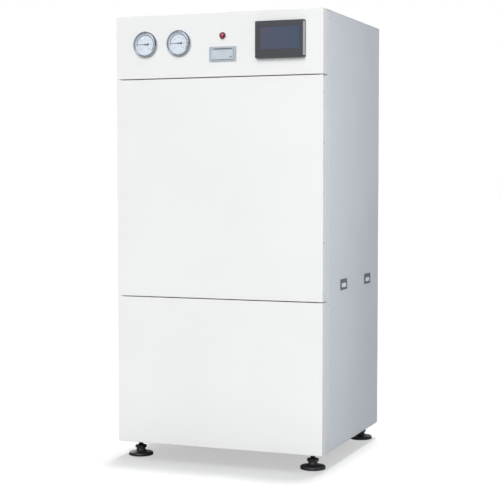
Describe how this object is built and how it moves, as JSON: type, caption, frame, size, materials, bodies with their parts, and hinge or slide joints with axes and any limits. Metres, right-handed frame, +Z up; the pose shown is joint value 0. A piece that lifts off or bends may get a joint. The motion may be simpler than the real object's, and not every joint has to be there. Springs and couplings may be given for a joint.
{
  "type": "cabinet steam steriliser",
  "caption": "Tall white cabinet steam steriliser on levelling feet: hinged front cover, sliding pressure door behind it, gauges, printer and touch screen on the top fascia.",
  "frame": {"origin": "centre of the bounding box's footprint, on the floor under the feet", "axes": "+X to the viewer's right, +Y from the front panels to the back, +Z up"},
  "size_m": [0.9424, 0.902, 1.92],
  "materials": {
    "white_paint": "off-white powder coat, satin",
    "grey_paint": "cool light grey powder coat, satin",
    "stainless": "satin stainless steel",
    "bright_steel": "bright turned stainless steel",
    "chrome": "polished",
    "dark_casting": "painted grey casting",
    "black_nylon": "fine-grained black moulding",
    "smoke_plastic": "dark grey moulding, satin",
    "pale_plastic": "pale blue-grey moulding, satin",
    "dial_white": "printed matt white dial",
    "needle_black": "matt black",
    "red_lens": "translucent deep red",
    "clear_glass": "clear",
    "screen_glass": "unlit blue-grey display behind a smooth film",
    "silicone": "red-brown silicone",
    "paper_white": "thermal paper",
    "brass": "machined"
  },
  "bodies": {
    "cabinet": {"base_frame": "grey_paint", "front_frame": "grey_paint", "rear_frame": "grey_paint", "chamber_beam_left": "grey_paint", "chamber_beam_right": "grey_paint", "control_fascia": "white_paint", "lower_front_panel": "white_paint", "side_panel_right": "grey_paint", "side_panel_left": "grey_paint", "top_cover": "grey_paint", "back_panel": "grey_paint", "service_connectors": "bright_steel", "door_pivot_upper": "bright_steel", "door_pivot_lower": "bright_steel", "inner_facade": "stainless", "chamber_shell": "stainless", "chamber_flange": "bright_steel", "chamber_gasket": "silicone", "shelf_lower": "bright_steel", "shelf_upper": "bright_steel", "door_guide_right": "stainless", "door_guide_left": "stainless", "door_motor": "dark_casting", "screw_bracket": "grey_paint", "steam_generator": "stainless", "vacuum_pump": "dark_casting", "electrical_box": "grey_paint", "safety_valve": "brass", "air_filter": "pale_plastic", "gauge_case_left": "chrome", "gauge_case_right": "chrome", "gauge_dial_left": "dial_white", "gauge_dial_right": "dial_white", "gauge_lens_left": "clear_glass", "gauge_lens_right": "clear_glass", "touchscreen_housing": "smoke_plastic", "touchscreen_glass": "screen_glass", "button_bezel": "chrome", "printer_housing": "pale_plastic", "latch_bezel_front": "smoke_plastic", "latch_bezel_rear": "smoke_plastic"},
    "front_cover": {"front_door_panel": "white_paint", "front_door_liner": "grey_paint"},
    "sliding_door": {"pressure_door": "stainless", "lead_nut_carriage": "brass"},
    "screw": {"lead_screw": "bright_steel", "screw_gear": "brass"},
    "pinion": {"motor_pinion": "bright_steel"},
    "needle_left": {"gauge_needle_left": "needle_black"},
    "needle_right": {"gauge_needle_right": "needle_black"},
    "button": {"button_cap": "red_lens"},
    "lid": {"printer_lid": "pale_plastic"},
    "feed_key": {"printer_feed_button": "smoke_plastic"},
    "roll": {"paper_roll": "paper_white"},
    "paddle_front": {"latch_paddle_front": "chrome"},
    "paddle_rear": {"latch_paddle_rear": "chrome"},
    "leveller_front_left": {"foot_front_left": "black_nylon"},
    "leveller_front_right": {"foot_front_right": "black_nylon"},
    "leveller_rear_left": {"foot_rear_left": "black_nylon"},
    "leveller_rear_right": {"foot_rear_right": "black_nylon"}
  },
  "joints": [
    {"name": "front_cover_hinge", "type": "hinge", "parent": "cabinet", "child": "front_cover", "pos_m": [0.456, -0.419, 1.181], "axis": [0, 0, 1], "range_deg": [0, 105]},
    {"name": "pressure_door_slide", "type": "slide", "parent": "cabinet", "child": "sliding_door", "axis": [0, 0, -1], "range_m": [0, 0.56]},
    {"name": "lead_screw_spin", "type": "hinge", "parent": "cabinet", "child": "screw", "pos_m": [0.374, -0.293, 0.7], "axis": [0, 0, 1], "range_deg": [-10, 10100]},
    {"name": "motor_pinion_spin", "type": "hinge", "parent": "cabinet", "child": "pinion", "pos_m": [0.374, -0.2258, 0.31], "axis": [0, 0, 1], "range_deg": [-20200, 20]},
    {"name": "gauge_needle_left_turn", "type": "hinge", "parent": "cabinet", "child": "needle_left", "pos_m": [-0.331, -0.44, 1.798], "axis": [0, 1, 0], "range_deg": [-45, 225], "stiffness_Nm_per_rad": 0.001},
    {"name": "gauge_needle_right_turn", "type": "hinge", "parent": "cabinet", "child": "needle_right", "pos_m": [-0.174, -0.44, 1.798], "axis": [0, 1, 0], "range_deg": [-45, 225], "stiffness_Nm_per_rad": 0.001},
    {"name": "red_button_press", "type": "slide", "parent": "cabinet", "child": "button", "axis": [0, 1, 0], "range_m": [0, 0.003], "stiffness_N_per_m": 400},
    {"name": "printer_lid_hinge", "type": "hinge", "parent": "cabinet", "child": "lid", "pos_m": [0.027, -0.436, 1.7254], "axis": [1, 0, 0], "range_deg": [0, 85]},
    {"name": "feed_key_press", "type": "slide", "parent": "lid", "child": "feed_key", "axis": [0, 1, 0], "range_m": [0, 0.001], "stiffness_N_per_m": 300},
    {"name": "paper_roll_spin", "type": "hinge", "parent": "cabinet", "child": "roll", "pos_m": [0.027, -0.411, 1.743], "axis": [1, 0, 0], "continuous": true},
    {"name": "latch_paddle_front_pull", "type": "hinge", "parent": "cabinet", "child": "paddle_front", "pos_m": [0.468, -0.142, 0.772], "axis": [0, -1, 0], "range_deg": [0, 50], "stiffness_Nm_per_rad": 0.05},
    {"name": "latch_paddle_rear_pull", "type": "hinge", "parent": "cabinet", "child": "paddle_rear", "pos_m": [0.468, 0.221, 0.772], "axis": [0, -1, 0], "range_deg": [0, 50], "stiffness_Nm_per_rad": 0.05},
    {"name": "foot_front_left_level", "type": "slide", "parent": "cabinet", "child": "leveller_front_left", "axis": [0, 0, -1], "range_m": [-0.01, 0.02]},
    {"name": "foot_front_right_level", "type": "slide", "parent": "cabinet", "child": "leveller_front_right", "axis": [0, 0, -1], "range_m": [-0.01, 0.02]},
    {"name": "foot_rear_left_level", "type": "slide", "parent": "cabinet", "child": "leveller_rear_left", "axis": [0, 0, -1], "range_m": [-0.01, 0.02]},
    {"name": "foot_rear_right_level", "type": "slide", "parent": "cabinet", "child": "leveller_rear_right", "axis": [0, 0, -1], "range_m": [-0.01, 0.02]}
  ],
  "couplings": [
    {"joint": "lead_screw_spin", "follows": "pressure_door_slide", "rad_per_m": 314.16},
    {"joint": "motor_pinion_spin", "follows": "pressure_door_slide", "rad_per_m": -628.32}
  ]
}
